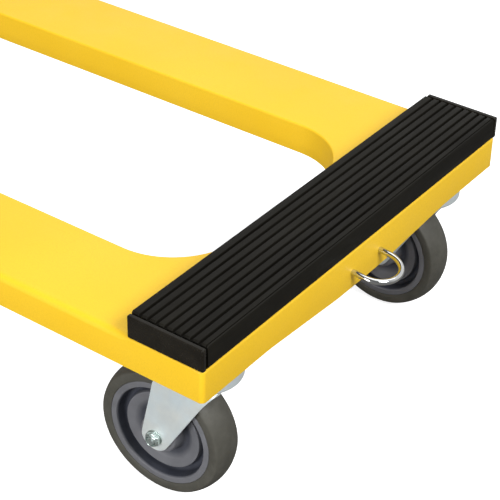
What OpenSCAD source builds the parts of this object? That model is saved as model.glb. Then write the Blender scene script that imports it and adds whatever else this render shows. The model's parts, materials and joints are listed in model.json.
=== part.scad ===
// Four-wheel moving dolly: an open moulded deck on swivel casters, with ribbed rubber end pads
// and a pull ring. Millimetres, +Z up. The origin is on the floor, under the middle of the whole
// object's box, and +X points to the end that has the pull ring.

/* [Deck] */
// Length of the deck
deck_l = 762; // [620:2:1000]
// Width of the deck
deck_w = 457.2; // [440:0.2:520]
// Depth of the deck's edge
deck_t = 30.6; // [26:0.2:40]
// Depth of the end walls at their middle
skirt_t = 38.6; // [36:0.1:44]
// Thickness of the deck's top
skin_t = 6; // [4:0.5:8]
// Thickness of the deck's upright walls
wall_t = 5; // [4:0.5:7]
// Thickness of the deck's stiffening ribs
rib_t = 3; // [2.5:0.5:5]
// Rounding along the deck's long top edges
edge_r = 6.5; // [5:0.5:12]
// Width of the opening in the deck
open_w = 265.4; // [220:0.2:272]
// Solid deck between the opening and each end
open_end = 90; // [86:1:110]
// Corner radius of the opening
open_r = 70; // [40:1:90]

/* [End pads] */
// Width of a pad along the deck
pad_w = 75.2; // [75:0.1:84]
// Height of a pad above the deck
pad_h = 22.4; // [20:0.2:30]
// Number of grooves in a pad
grooves = 8; // [6:1:8]
// Distance from groove to groove
groove_pitch = 8.4; // [8.2:0.1:8.6]
// Width of a groove
groove_w = 2.8; // [2:0.1:4]
// Thickness of the cap on each end of a pad
cap_t = 5; // [4:0.5:8]
// How far a cap stands out past the deck's sides
cap_proud = 0.3; // [0.2:0.1:3]

/* [Pull ring] */
// Wire diameter
ring_wire = 5.5; // [4:0.5:7]
// Distance between the two legs, middle to middle
ring_gap = 43.4; // [36:0.2:50]
// Height of the legs below the deck's top
ring_drop = 21.3; // [17:0.1:22]
// Offset of the ring from the middle of the end wall
ring_y = 3.5; // [0:0.5:4]
// Downward tilt of the loop
ring_tilt = 8; // [4:1:15]

/* [Casters] */
// Wheel diameter
wheel_d = 127; // [120:1:130]
// Tyre width
tyre_w = 32; // [28:0.5:33]
// Height from the floor to the top of the caster plate
mount_h = 157.9; // [155:0.1:165]
// Distance from the swivel axis back to the axle
trail = 36.5; // [32:0.5:40]
// Distance from the deck's end to the swivel axis
caster_x = 40.3; // [40:0.1:43]
// Distance from the deck's middle line to the swivel axis
caster_y = 173.7; // [172:0.1:175]
// Rest angle of the front right caster
front_right_yaw = 3; // [-20:1:20]

/* [Hidden] */
$fn = 64;
eps = 0.01;
gap = 0.4;
fit = 0.08;
tight = 0.05;
ring_r = ring_gap / 2;
ring_out = 3;
ring_bend = 8;
ring_leg = 7;
ring_in = 19;
ring_reach = ring_out + ring_bend * sin(ring_tilt)
    + (ring_leg + ring_r) * cos(ring_tilt) + ring_wire / 2;
deck_x = (trail + wheel_d / 2 - caster_x - ring_reach) / 2;
deck_top = mount_h + deck_t;
half_l = deck_l / 2;
half_w = deck_w / 2;
corner_r = 4.6;
rib_pitch = 70;
rib_last = 4;
end_rib_y = [-75, -35, 35, 75];
open_l = deck_l - 2 * open_end;
skirt_flat = 30;
skirt_end = 145;

pad_len = deck_w + 2 * cap_proud - 2 * cap_t - 2 * gap;
pad_round = 1.2;
pad_foot = 3;
groove_d = 3;
first_groove = groove_pitch - groove_w / 2;
line_w = 0.9;
line_d = 1.2;
line_in = 2.3;
cap_drop = 1.2;
cap_round = 2.5;
cap_lip = 0.3;

pad_screw_r = 2.4;
pad_screw_head = 4.6;
pad_screw_head_t = 3;
pad_screw_play = 0.3;
pad_screw_x = 37.5;
pad_screw_y = [-100, -50, 50, 100];
pad_screw_in = 14;

ring_plate_t = 3;
ring_plate_w = 18;
ring_plate_l = 58;
ring_plate_round = 3;
ring_nut_af = 10;
ring_nut_t = 5;

plate_l = 66;
plate_w = 95;
plate_t = 3;
plate_round = 6;
bolt_dx = 44.5;
bolt_dy = 76.2;
bolt_r = 4;
bolt_hole_r = 4.3;
bolt_head_r = 9;
bolt_head_t = 3.6;
bolt_pocket_r = 9.6;
bolt_nut_af = 13;
bolt_nut_t = 6.4;
bolt_washer_r = 8;
bolt_washer_t = 1.6;
bolt_tail = 2.5;
seat_l = plate_l + 6;
seat_w = plate_w + 10;

race_r = 33;
race_t = 2.8;
race_top = mount_h - plate_t - 3.4;
crown_z = race_top - 16;
crown_pocket_r = 16.5;
crown_pocket = 7.4;
upper_race_r = 29;
ball_r = 3.6;
ball_ring = 24.4;
ball_n = 17;
ball_z = race_top - 2.5;
ball_seat = 1;
ball_play = 0.3;
upper_race_z = ball_z + ball_r - ball_seat;
lower_race_z = ball_z - ball_r + ball_seat;
kingpin_r = 6;
kingpin_nut_af = 19;
kingpin_nut_t = 7;
kingpin_end = crown_z + crown_pocket - gap - kingpin_nut_t;

wheel_r = wheel_d / 2;
axle_z = wheel_r;
tyre_in_r = 51;
crown_r = 34;
rim_r = 44.9;
rim_w = 30.6;
web_r = 37;
web_w = 20;
channel_w = 9;
hub_r = 17;
hub_w = 36;
bush_r = 6.35;
bush_in_r = 4.06;
axle_r = 3.97;
fork_gap = 37;
fork_t = 3;
fork_half = fork_gap / 2 + fork_t;
fork_boss_r = 13.6;
leg_top = crown_z + race_t - axle_z;
LEG = [
    [-13.3, 2.7], [-8.1, 27], [-4.2, 45], [-1.4, 59], [5, leg_top], [61.5, leg_top],
    [56.5, 65.5], [51.8, 59.2], [46.3, 51], [11.7, -6.95]
];
axle_head_af = 12.7;
axle_head_t = 5.3;
axle_nut_af = 12.7;
axle_nut_hex = 4;
axle_nut_collar = 2;
axle_nut_step = 0.6;
axle_washer_r = 7.6;
axle_washer_t = 0.9;
axle_tail = 0.6;

CASTERS = [
    ["front_left", 1, 1, 0],
    ["front_right", 1, -1, front_right_yaw],
    ["rear_left", -1, 1, 0],
    ["rear_right", -1, -1, 0]
];
CASTER_PARTS = [
    "plate", "kingpin", "kingpin_nut", "swivel_balls", "yoke", "axle_bolt", "axle_nut",
    "axle_bush", "wheel_core", "tyre"
];

// ---- shared shapes ----

// A rectangle with round corners, centred
module round_rect(length, width, radius) {
    square([length - 2 * radius, width], center = true);
    square([length, width - 2 * radius], center = true);
    for (x = [-1, 1], y = [-1, 1])
        translate([x * (length / 2 - radius), y * (width / 2 - radius)])
            circle(radius);
}

// A hexagonal prism given by its width across flats
module hexagon(across, height) {
    cylinder(h = height, r = across / sqrt(3), $fn = 6);
}

// A hexagonal nut with a hole
module nut(across, height, hole_r) {
    difference() {
        hexagon(across, height);
        translate([0, 0, -1]) cylinder(h = height + 2, r = hole_r);
    }
}

// Puts its children on one end of the deck: 1 is the front, -1 the rear, with x = 0 at the end
// face and +X pointing out of the deck
module at_end(side) {
    translate([deck_x, 0, 0])
        rotate([0, 0, side > 0 ? 0 : 180])
            translate([half_l, 0, 0])
                children();
}

// Puts its children on a caster's swivel axis
module at_swivel(c) {
    translate([deck_x + c[1] * (half_l - caster_x), c[2] * caster_y, 0]) children();
}

// The same, turned to where the wheel points at rest
module at_yoke(c) {
    at_swivel(c) rotate([0, 0, c[3]]) children();
}

// Along the axle of a caster, with the wheel's middle at the origin and +Z along the axle
module at_axle(c) {
    at_yoke(c) translate([-trail, 0, axle_z]) rotate([90, 0, 0]) children();
}

// The four bolts of a caster
module at_bolts(c) {
    at_swivel(c)
        for (x = [-1, 1], y = [-1, 1])
            translate([x * bolt_dx / 2, y * bolt_dy / 2, 0])
                children();
}

// ---- deck ----

module deck_opening(grow = 0) {
    round_rect(open_l + 2 * grow, open_w + 2 * grow, open_r + grow);
}

module deck_outline() {
    difference() {
        round_rect(deck_l, deck_w, corner_r);
        deck_opening();
    }
}

// The ribs, caster seats and upright walls under the deck's skin
module deck_ribs() {
    rail_y = (half_w + open_w / 2) / 2;
    seat_x = half_l - caster_x;
    difference() {
        round_rect(deck_l, deck_w, corner_r);
        square([deck_l - 2 * wall_t, deck_w - 2 * wall_t], center = true);
    }
    difference() {
        union() {
            deck_opening(wall_t);
            for (x = [-1, 1], y = [-1, 1])
                translate([x * seat_x, y * caster_y]) square([seat_l, seat_w], center = true);
            for (y = [-1, 1])
                translate([0, y * rail_y]) square([deck_l - wall_t, rib_t], center = true);
            for (x = [-rib_last:rib_last])
                translate([x * rib_pitch, 0]) square([rib_t, deck_w - wall_t], center = true);
            for (x = [-1, 1]) {
                translate([x * (half_l - open_end / 2), 0])
                    square([rib_t, 2 * caster_y - seat_w + eps], center = true);
                for (y = end_rib_y)
                    translate([x * (half_l - open_end / 2), y])
                        square([open_end - wall_t, rib_t], center = true);
            }
        }
        deck_opening();
    }
}

// An end wall's lower edge hangs deeper at its middle
module end_skirt() {
    rotate([90, 0, -90])
        linear_extrude(wall_t)
            polygon([
                [-skirt_end, deck_top - deck_t], [-skirt_flat, deck_top - skirt_t],
                [skirt_flat, deck_top - skirt_t], [skirt_end, deck_top - deck_t],
                [skirt_end, deck_top - deck_t / 2], [-skirt_end, deck_top - deck_t / 2]
            ]);
}

// What the deck keeps after its long top edges are rounded, seen from the end
module deck_section() {
    translate([-half_w, -2 * deck_t]) square([deck_w, 2 * deck_t - edge_r]);
    translate([-half_w + edge_r, -edge_r - eps]) square([deck_w - 2 * edge_r, edge_r + eps]);
    for (y = [-1, 1])
        translate([y * (half_w - edge_r), -edge_r]) circle(edge_r);
}

module deck() {
    color("gold")
        difference() {
            union() {
                intersection() {
                    translate([deck_x, 0, 0]) {
                        translate([0, 0, deck_top - skin_t]) linear_extrude(skin_t) deck_outline();
                        translate([0, 0, deck_top - deck_t]) linear_extrude(deck_t - skin_t + eps)
                            deck_ribs();
                    }
                    translate([deck_x + half_l + 1, 0, deck_top])
                        rotate([90, 0, -90]) linear_extrude(deck_l + 2) deck_section();
                }
                for (side = [-1, 1]) at_end(side) end_skirt();
            }
            for (c = CASTERS)
                at_bolts(c) {
                    translate([0, 0, deck_top - deck_t - 1]) cylinder(h = deck_t + 2, r = bolt_hole_r);
                    translate([0, 0, deck_top - bolt_head_t - gap])
                        cylinder(h = bolt_head_t + 1, r = bolt_pocket_r);
                }
            for (side = [-1, 1], y = pad_screw_y)
                at_end(side)
                    translate([-pad_screw_x, y, deck_top - skin_t - 1])
                        cylinder(h = skin_t + 2, r = pad_screw_r + pad_screw_play);
            at_end(1)
                for (y = [-1, 1])
                    translate([-wall_t - 1, ring_y + y * ring_r, deck_top - ring_drop])
                        rotate([0, 90, 0]) cylinder(h = wall_t + 2, r = ring_wire / 2 + fit);
        }
}

// ---- end pads ----

// A pad's section: x = 0 at the deck's end face, y = 0 on the deck's top
module pad_section() {
    difference() {
        union() {
            translate([-pad_w, 0]) square([pad_w - pad_foot, pad_h]);
            translate([-pad_foot - eps, pad_foot])
                square([pad_foot + eps, pad_h - pad_foot - pad_round]);
            translate([-pad_foot - eps, pad_foot])
                square([pad_foot - pad_round + eps, pad_h - pad_foot]);
            translate([-pad_round, pad_h - pad_round]) circle(pad_round);
            translate([-pad_foot, pad_foot]) circle(pad_foot);
        }
        for (i = [0:grooves - 1])
            translate([-pad_w + first_groove + i * groove_pitch, pad_h - groove_d])
                square([groove_w, groove_d + 1]);
        translate([-line_in, pad_h - line_d]) square([line_w, line_d + 1]);
    }
}

module pad(side) {
    color([0.13, 0.12, 0.11])
        at_end(side)
            difference() {
                translate([0, pad_len / 2, deck_top])
                    rotate([90, 0, 0]) linear_extrude(pad_len) pad_section();
                for (y = pad_screw_y)
                    translate([-pad_screw_x, y, deck_top - 1])
                        cylinder(h = pad_screw_in + 2, r = pad_screw_r + tight);
            }
}

// A cap's side view: the top corners are round and the bottom stands on the deck
module cap_outline(length, height) {
    translate([0, height / 2 - cap_round])
        intersection() {
            round_rect(length, height + 2 * cap_round, cap_round);
            translate([0, cap_round]) square([length, height], center = true);
        }
}

module pad_cap(side, y) {
    cap_l = pad_w + cap_lip;
    cap_h = pad_h - cap_drop;
    color([0.1, 0.1, 0.1])
        at_end(side)
            translate([cap_lip - cap_l / 2, side * y * (half_w + cap_proud - cap_t / 2), deck_top])
                rotate([90, 0, 0])
                    translate([0, 0, -cap_t / 2])
                        linear_extrude(cap_t) cap_outline(cap_l, cap_h);
}

module pad_screws() {
    color("silver")
        for (side = [-1, 1], y = pad_screw_y)
            at_end(side)
                translate([-pad_screw_x, y, deck_top - skin_t]) {
                    translate([0, 0, -pad_screw_head_t])
                        cylinder(h = pad_screw_head_t, r = pad_screw_head);
                    translate([0, 0, -eps]) cylinder(h = skin_t + pad_screw_in, r = pad_screw_r);
                }
}

// ---- pull ring ----

// A U of round wire with straight legs through the end wall and a loop that tilts down
module pull_ring() {
    color([0.8, 0.8, 0.82])
        at_end(1)
            translate([0, ring_y, deck_top - ring_drop]) {
                for (y = [-1, 1])
                    translate([-ring_in, y * ring_r, 0]) {
                        rotate([0, 90, 0]) cylinder(h = ring_in + ring_out, r = ring_wire / 2);
                        translate([ring_in + ring_out, 0, -ring_bend])
                            rotate([90, 0, 0])
                                rotate([0, 0, 90 - ring_tilt])
                                    rotate_extrude(angle = ring_tilt)
                                        translate([ring_bend, 0]) circle(ring_wire / 2);
                    }
                translate([ring_out, 0, -ring_bend])
                    rotate([0, ring_tilt, 0])
                        translate([0, 0, ring_bend]) {
                            for (y = [-1, 1])
                                translate([0, y * ring_r, 0])
                                    rotate([0, 90, 0]) cylinder(h = ring_leg, r = ring_wire / 2);
                            translate([ring_leg, 0, 0])
                                rotate([0, 0, -90])
                                    rotate_extrude(angle = 180)
                                        translate([ring_r, 0]) circle(ring_wire / 2);
                        }
            }
}

module ring_plate() {
    color("silver")
        at_end(1)
            translate([-wall_t - ring_plate_t, ring_y, deck_top - ring_drop])
                rotate([0, 90, 0])
                    difference() {
                        linear_extrude(ring_plate_t)
                            round_rect(ring_plate_w, ring_plate_l, ring_plate_round);
                        for (y = [-1, 1])
                            translate([0, y * ring_r, -1])
                                cylinder(h = ring_plate_t + 2, r = ring_wire / 2 + fit);
                    }
}

module ring_nuts() {
    nut_x = -wall_t - ring_plate_t - ring_nut_t;
    color("silver")
        at_end(1)
            for (y = [-1, 1])
                translate([nut_x, ring_y + y * ring_r, deck_top - ring_drop])
                    rotate([0, 90, 0]) nut(ring_nut_af, ring_nut_t, ring_wire / 2 + tight);
}

// ---- caster fasteners ----

module caster_bolts() {
    head_z = deck_top - bolt_head_t;
    tail_z = mount_h - plate_t - bolt_washer_t - bolt_nut_t - bolt_tail;
    color("silver")
        for (c = CASTERS)
            at_bolts(c) {
                translate([0, 0, head_z - gap / 2]) cylinder(h = bolt_head_t, r = bolt_head_r);
                translate([0, 0, tail_z]) cylinder(h = head_z - tail_z, r = bolt_r);
            }
}

module caster_washers() {
    color("silver")
        for (c = CASTERS)
            at_bolts(c)
                translate([0, 0, mount_h - plate_t - bolt_washer_t])
                    difference() {
                        cylinder(h = bolt_washer_t, r = bolt_washer_r);
                        translate([0, 0, -1]) cylinder(h = bolt_washer_t + 2, r = bolt_hole_r);
                    }
}

module caster_nuts() {
    color("silver")
        for (c = CASTERS)
            at_bolts(c)
                translate([0, 0, mount_h - plate_t - bolt_washer_t - bolt_nut_t])
                    rotate([0, 0, 30]) nut(bolt_nut_af, bolt_nut_t, bolt_r + tight);
}

// ---- one caster ----

// The top plate, with its upper ball race pressed down out of it
module plate(c) {
    color("silver")
        at_swivel(c)
            difference() {
                union() {
                    translate([0, 0, mount_h - plate_t])
                        linear_extrude(plate_t) round_rect(plate_l, plate_w, plate_round);
                    translate([0, 0, upper_race_z])
                        cylinder(h = mount_h - upper_race_z - plate_t / 2, r = upper_race_r);
                }
                translate([0, 0, upper_race_z - 1])
                    cylinder(h = mount_h - upper_race_z + 2, r = kingpin_r + tight);
                for (x = [-1, 1], y = [-1, 1])
                    translate([x * bolt_dx / 2, y * bolt_dy / 2, mount_h - plate_t - 1])
                        cylinder(h = plate_t + 2, r = bolt_hole_r);
                translate([0, 0, ball_z])
                    rotate_extrude() translate([ball_ring, 0]) circle(ball_r + ball_play);
            }
}

module kingpin(c) {
    color("silver")
        at_swivel(c)
            translate([0, 0, kingpin_end]) cylinder(h = mount_h - kingpin_end, r = kingpin_r);
}

module kingpin_nut(c) {
    color("silver")
        at_swivel(c)
            translate([0, 0, kingpin_end]) nut(kingpin_nut_af, kingpin_nut_t, kingpin_r + tight);
}

module swivel_balls(c) {
    color("silver")
        at_swivel(c)
            for (i = [0:ball_n - 1])
                rotate([0, 0, i * 360 / ball_n])
                    translate([ball_ring, 0, ball_z])
                        sphere(ball_r, $fn = 24);
}

// The side of one fork leg, from the axle up to the pan: x = 0 on the swivel axis, y = height
module leg_outline() {
    translate([-trail, axle_z]) {
        polygon(LEG);
        circle(fork_boss_r);
    }
}

// The yoke: a round pan that carries the ball race, with two legs down to the axle
module yoke(c) {
    color("gainsboro")
        at_yoke(c)
            difference() {
                union() {
                    translate([0, 0, crown_z]) cylinder(h = race_top - crown_z, r = race_r);
                    for (y = [-1, 1])
                        translate([0, y * (fork_gap / 2 + fork_t / 2) + fork_t / 2, 0])
                            rotate([90, 0, 0]) linear_extrude(fork_t) leg_outline();
                }
                translate([0, 0, lower_race_z]) cylinder(h = crown_z, r = race_r - race_t);
                translate([0, 0, crown_z - 1]) cylinder(h = crown_pocket + 1, r = crown_pocket_r);
                translate([0, 0, crown_z - 1]) cylinder(h = crown_z, r = kingpin_r + fit);
                translate([0, 0, ball_z])
                    rotate_extrude() translate([ball_ring, 0]) circle(ball_r + ball_play);
                translate([-trail, 0, axle_z])
                    rotate([90, 0, 0]) cylinder(h = 3 * fork_half, r = axle_r + fit, center = true);
            }
}

module axle_bolt(c) {
    reach = fork_half + axle_washer_t + axle_nut_hex + axle_nut_collar + axle_tail;
    color("silver")
        at_axle(c) {
            translate([0, 0, -fork_half - axle_head_t]) hexagon(axle_head_af, axle_head_t);
            translate([0, 0, -fork_half - 1]) cylinder(h = reach + fork_half + 1, r = axle_r);
        }
}

// The lock nut and its washer
module axle_nut(c) {
    hex_z = fork_half + axle_washer_t;
    color("silver")
        at_axle(c)
            difference() {
                union() {
                    translate([0, 0, fork_half]) cylinder(h = axle_washer_t, r = axle_washer_r);
                    translate([0, 0, hex_z - eps]) hexagon(axle_nut_af, axle_nut_hex + eps);
                    translate([0, 0, hex_z + axle_nut_hex - eps])
                        cylinder(h = axle_nut_collar + eps, r = axle_nut_af / 2 - axle_nut_step);
                }
                cylinder(h = 3 * fork_half, r = axle_r + tight, center = true);
            }
}

module axle_bush(c) {
    color("dimgray")
        at_axle(c)
            difference() {
                cylinder(h = fork_gap - 2 * tight, r = bush_r, center = true);
                cylinder(h = fork_gap + 2, r = bush_in_r, center = true);
            }
}

// Hub, web, channel and rim in one moulding, turned about the axle
module wheel_core(c) {
    color([0.4, 0.41, 0.44])
        at_axle(c)
            rotate_extrude($fn = 96)
                difference() {
                    union() {
                        translate([0, -hub_w / 2]) square([hub_r, hub_w]);
                        translate([hub_r - eps, -web_w / 2]) square([web_r - hub_r + eps, web_w]);
                        translate([web_r - eps, -channel_w / 2]) square([rim_r - web_r + 1, channel_w]);
                        translate([rim_r, -rim_w / 2]) square([tyre_in_r - rim_r, rim_w]);
                    }
                    translate([-1, -hub_w]) square([bush_r + fit + 1, 2 * hub_w]);
                }
}

module tyre(c) {
    color([0.25, 0.24, 0.22])
        at_axle(c)
            rotate_extrude($fn = 96)
                intersection() {
                    translate([tyre_in_r, -tyre_w / 2]) square([wheel_r - tyre_in_r, tyre_w]);
                    translate([wheel_r - crown_r, 0]) circle(crown_r, $fn = 128);
                }
}

// ---- nodes ----

deck();
pad(1);  // pad_front
pad(-1);  // pad_rear
pad_cap(1, 1);  // pad_cap_front_left
pad_cap(1, -1);  // pad_cap_front_right
pad_cap(-1, 1);  // pad_cap_rear_left
pad_cap(-1, -1);  // pad_cap_rear_right
pad_screws();
pull_ring();
ring_plate();
ring_nuts();
caster_bolts();
caster_washers();
caster_nuts();
for (c = CASTERS) {
    plate(c);
    kingpin(c);
    kingpin_nut(c);
    swivel_balls(c);
    yoke(c);
    axle_bolt(c);
    axle_nut(c);
    axle_bush(c);
    wheel_core(c);
    tyre(c);
}
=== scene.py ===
import json
import math

import bmesh
import bpy
from mathutils import Matrix, Vector


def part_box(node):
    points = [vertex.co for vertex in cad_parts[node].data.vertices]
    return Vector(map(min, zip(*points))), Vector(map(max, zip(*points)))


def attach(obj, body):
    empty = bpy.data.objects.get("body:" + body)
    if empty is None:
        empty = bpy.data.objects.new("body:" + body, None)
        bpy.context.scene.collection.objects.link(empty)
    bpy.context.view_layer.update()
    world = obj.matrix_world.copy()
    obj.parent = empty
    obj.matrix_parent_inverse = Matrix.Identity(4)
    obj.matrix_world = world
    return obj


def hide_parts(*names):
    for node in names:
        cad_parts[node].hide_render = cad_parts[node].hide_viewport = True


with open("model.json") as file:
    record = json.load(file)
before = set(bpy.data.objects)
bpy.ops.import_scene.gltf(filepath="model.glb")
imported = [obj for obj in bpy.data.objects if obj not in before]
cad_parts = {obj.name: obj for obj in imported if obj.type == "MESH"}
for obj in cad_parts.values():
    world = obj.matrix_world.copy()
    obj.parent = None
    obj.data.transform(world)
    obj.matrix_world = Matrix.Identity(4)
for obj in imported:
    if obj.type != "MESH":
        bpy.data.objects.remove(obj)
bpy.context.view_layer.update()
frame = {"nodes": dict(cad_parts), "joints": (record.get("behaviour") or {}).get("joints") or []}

# Shapes are worked out in millimetres and scaled once, when a piece is made.
MM = 0.001
RIGHT_ANGLE = math.pi / 2


# ---- places and sizes, from the frame ----

def mm_box(node):
    """A node's lowest and highest corners at rest."""
    low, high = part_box(node)
    return low / MM, high / MM


def joint_at(name):
    return Vector(JOINTS[name]["pos_m"]) / MM


JOINTS = {joint["name"]: joint for joint in frame["joints"]}
deck_low, deck_high = mm_box("deck")
plate_high = mm_box("plate_front_left")[1]
pad_low, pad_high = mm_box("pad_front")
cap_low, cap_high = mm_box("pad_cap_front_left")
ring_low, ring_high = mm_box("pull_ring")

DECK_X = (deck_low.x + deck_high.x) / 2
HALF_L = (deck_high.x - deck_low.x) / 2
HALF_W = (deck_high.y - deck_low.y) / 2
DECK_TOP = deck_high.z
DECK_EDGE_Z = plate_high.z
# The outer and opening walls hang a little lower than the caster seats
WALL_DROP = 0.9
WALL_Z = DECK_EDGE_Z - WALL_DROP
SKIRT_Z = deck_low.z
PAD_W = pad_high.x - pad_low.x
PAD_H = pad_high.z - DECK_TOP
PAD_HALF = pad_high.y
CAP_T = cap_high.y - cap_low.y
CAP_OUT = cap_high.y - HALF_W
CAP_H = cap_high.z - cap_low.z
CAP_L = cap_high.x - cap_low.x

# The deck's opening: its distance from the deck's ends, half its width and its corner radius
OPEN_END = 90
OPEN_HALF_W = 132.7
OPEN_R = 70
# Wall thicknesses, and the radii of the deck's upright corners and its long top edges
SKIN_T = 6
WALL_T = 5
RIB_T = 3
CORNER_R = 4.6
EDGE_R = 6.5
# Where the deep middle of an end wall stops, and where its slope reaches the normal depth
SKIRT_FLAT = 30
SKIRT_END = 145

CASTERS = ("front_left", "front_right", "rear_left", "rear_right")


def caster_frame(name):
    """The matrix of one caster, in millimetres: the swivel axis up, the wheel trailing towards -X."""
    swivel = joint_at("swivel_" + name)
    away = swivel - joint_at("roll_" + name)
    turn = math.atan2(away.y, away.x)
    return Matrix.Translation((swivel.x, swivel.y, 0)) @ Matrix.Rotation(turn, 4, "Z")


axle_at = joint_at("roll_front_left")
swivel_at = joint_at("swivel_front_left")
AXLE_Z = axle_at.z
TRAIL = swivel_at.x - axle_at.x
WHEEL_R = AXLE_Z
PLATE_T = 3
# The round pan under each plate, its ball ring, and the fork's bent sheet
RACE_TOP = DECK_EDGE_Z - 6.4
CROWN_Z = RACE_TOP - 16
RACE_R = 33
RACE_FLOOR = RACE_TOP - 5.1
UPPER_RACE_Z = RACE_TOP + 0.1
BALL_RING = 24.4
FORK_GAP = 37
SHEET_T = 3
AXLE_TURN = Matrix.Rotation(RIGHT_ANGLE, 4, "X")
ALONG_AXLE = Matrix.Translation((-TRAIL, 0, AXLE_Z)) @ AXLE_TURN


# ---- materials ----

def new_material(name):
    """A node material and its tools: the node tree, its main shader and an object coordinate."""
    material = bpy.data.materials.new(name)
    material.use_nodes = True
    tree = material.node_tree
    shader = tree.nodes["Principled BSDF"]
    place = tree.nodes.new("ShaderNodeTexCoord").outputs["Object"]
    return material, tree, shader, place


def noise(tree, place, size_mm, detail=4.0, roughness=0.5, stretch=(1, 1, 1)):
    """Noise whose grains are about size_mm across."""
    mapping = tree.nodes.new("ShaderNodeMapping")
    mapping.inputs["Scale"].default_value = stretch
    tree.links.new(place, mapping.inputs["Vector"])
    node = tree.nodes.new("ShaderNodeTexNoise")
    node.inputs["Scale"].default_value = 1 / (size_mm * MM)
    node.inputs["Detail"].default_value = detail
    node.inputs["Roughness"].default_value = roughness
    tree.links.new(mapping.outputs["Vector"], node.inputs["Vector"])
    return node.outputs["Fac"]


def spread(tree, value, low, high, from_low=0.3, from_high=0.7):
    """A value mapped to a range."""
    node = tree.nodes.new("ShaderNodeMapRange")
    for name, number in (("From Min", from_low), ("From Max", from_high), ("To Min", low), ("To Max", high)):
        node.inputs[name].default_value = number
    tree.links.new(value, node.inputs["Value"])
    return node.outputs["Result"]


def colours(tree, value, stops):
    """A colour ramp over a value: stops are (position, (r, g, b))."""
    node = tree.nodes.new("ShaderNodeValToRGB")
    ramp = node.color_ramp
    while len(ramp.elements) < len(stops):
        ramp.elements.new(0.5)
    for element, (position, colour) in zip(ramp.elements, stops):
        element.position = position
        element.color = (*colour, 1)
    tree.links.new(value, node.inputs["Fac"])
    return node.outputs["Color"]


def blend_colours(tree, first, second, factor, mode="MIX"):
    node = tree.nodes.new("ShaderNodeMix")
    node.data_type = "RGBA"
    node.blend_type = mode
    tree.links.new(factor, node.inputs[0])
    tree.links.new(first, node.inputs[6])
    tree.links.new(second, node.inputs[7])
    return node.outputs[2]


def add_bump(tree, shader, *layers):
    """Bump from several heights: each layer is (value, depth in mm)."""
    normal = None
    for value, depth_mm in layers:
        node = tree.nodes.new("ShaderNodeBump")
        node.inputs["Strength"].default_value = 1.0
        node.inputs["Distance"].default_value = depth_mm * MM
        tree.links.new(value, node.inputs["Height"])
        if normal:
            tree.links.new(normal, node.inputs["Normal"])
        normal = node.outputs["Normal"]
    tree.links.new(normal, shader.inputs["Normal"])


def deck_plastic():
    material, tree, shader, place = new_material("deck_plastic")
    cloud = noise(tree, place, 120, 3)
    base = colours(tree, cloud, [(0.3, (0.92, 0.565, 0.016)), (0.7, (0.95, 0.60, 0.024))])
    speck = noise(tree, place, 1.6, 2, 0.6)
    tint = colours(tree, speck, [(0.35, (0.93, 0.92, 0.88)), (0.6, (1, 1, 1))])
    amount = spread(tree, cloud, 0.5, 0.9)
    tree.links.new(blend_colours(tree, base, tint, amount, "MULTIPLY"), shader.inputs["Base Color"])
    tree.links.new(spread(tree, noise(tree, place, 30, 5), 0.36, 0.5), shader.inputs["Roughness"])
    shader.inputs["Specular IOR Level"].default_value = 0.4
    add_bump(tree, shader, (noise(tree, place, 9, 2), 0.05), (noise(tree, place, 0.9, 3, 0.6), 0.02))
    return material


def pad_rubber():
    material, tree, shader, place = new_material("pad_rubber")
    streak = noise(tree, place, 24, 5, 0.6, (1, 0.12, 1))
    base = colours(tree, streak, [(0.3, (0.005, 0.0044, 0.003)), (0.7, (0.0105, 0.0094, 0.0066))])
    tree.links.new(base, shader.inputs["Base Color"])
    wear = noise(tree, place, 12, 4, 0.6, (1, 0.2, 1))
    tree.links.new(spread(tree, wear, 0.42, 0.6), shader.inputs["Roughness"])
    shader.inputs["Specular IOR Level"].default_value = 0.1
    drag = noise(tree, place, 5, 3, 0.6, (1, 0.15, 1))
    add_bump(tree, shader, (drag, 0.12), (noise(tree, place, 0.7, 2), 0.03))
    return material


def cap_plastic():
    material, tree, shader, place = new_material("cap_plastic")
    shade = noise(tree, place, 15, 4)
    base = colours(tree, shade, [(0.3, (0.008, 0.0066, 0.0042)), (0.7, (0.0145, 0.0122, 0.0085))])
    tree.links.new(base, shader.inputs["Base Color"])
    tree.links.new(spread(tree, noise(tree, place, 4, 4), 0.2, 0.3), shader.inputs["Roughness"])
    shader.inputs["Specular IOR Level"].default_value = 0.2
    add_bump(tree, shader, (noise(tree, place, 1.1, 3, 0.6), 0.03))
    return material


def zinc(name, light, dark, rough_low, rough_high, metal, bump=0.03):
    """Bright zinc plate: patches of slightly different grey, with a faint blue and straw tint."""
    material, tree, shader, place = new_material(name)
    patch = noise(tree, place, 14, 5, 0.6)
    tint = colours(tree, noise(tree, place, 26, 2), [(0.35, (0.93, 0.98, 1.0)), (0.65, (1.0, 0.985, 0.94))])
    base = colours(tree, patch, [(0.3, dark), (0.7, light)])
    amount = spread(tree, patch, 0.6, 1.0)
    tree.links.new(blend_colours(tree, base, tint, amount, "MULTIPLY"), shader.inputs["Base Color"])
    shader.inputs["Metallic"].default_value = metal
    gloss = noise(tree, place, 3, 5, 0.65)
    tree.links.new(spread(tree, gloss, rough_low, rough_high), shader.inputs["Roughness"])
    add_bump(tree, shader, (noise(tree, place, 2.2, 3), bump), (noise(tree, place, 0.5, 2), bump / 3))
    return material


def ring_chrome():
    material, tree, shader, place = new_material("ring_chrome")
    base = colours(tree, noise(tree, place, 5, 4), [(0.3, (0.56, 0.57, 0.57)), (0.7, (0.68, 0.69, 0.68))])
    tree.links.new(base, shader.inputs["Base Color"])
    shader.inputs["Metallic"].default_value = 1.0
    tree.links.new(spread(tree, noise(tree, place, 1.5, 4), 0.07, 0.16), shader.inputs["Roughness"])
    add_bump(tree, shader, (noise(tree, place, 3, 2), 0.03))
    return material


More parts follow.
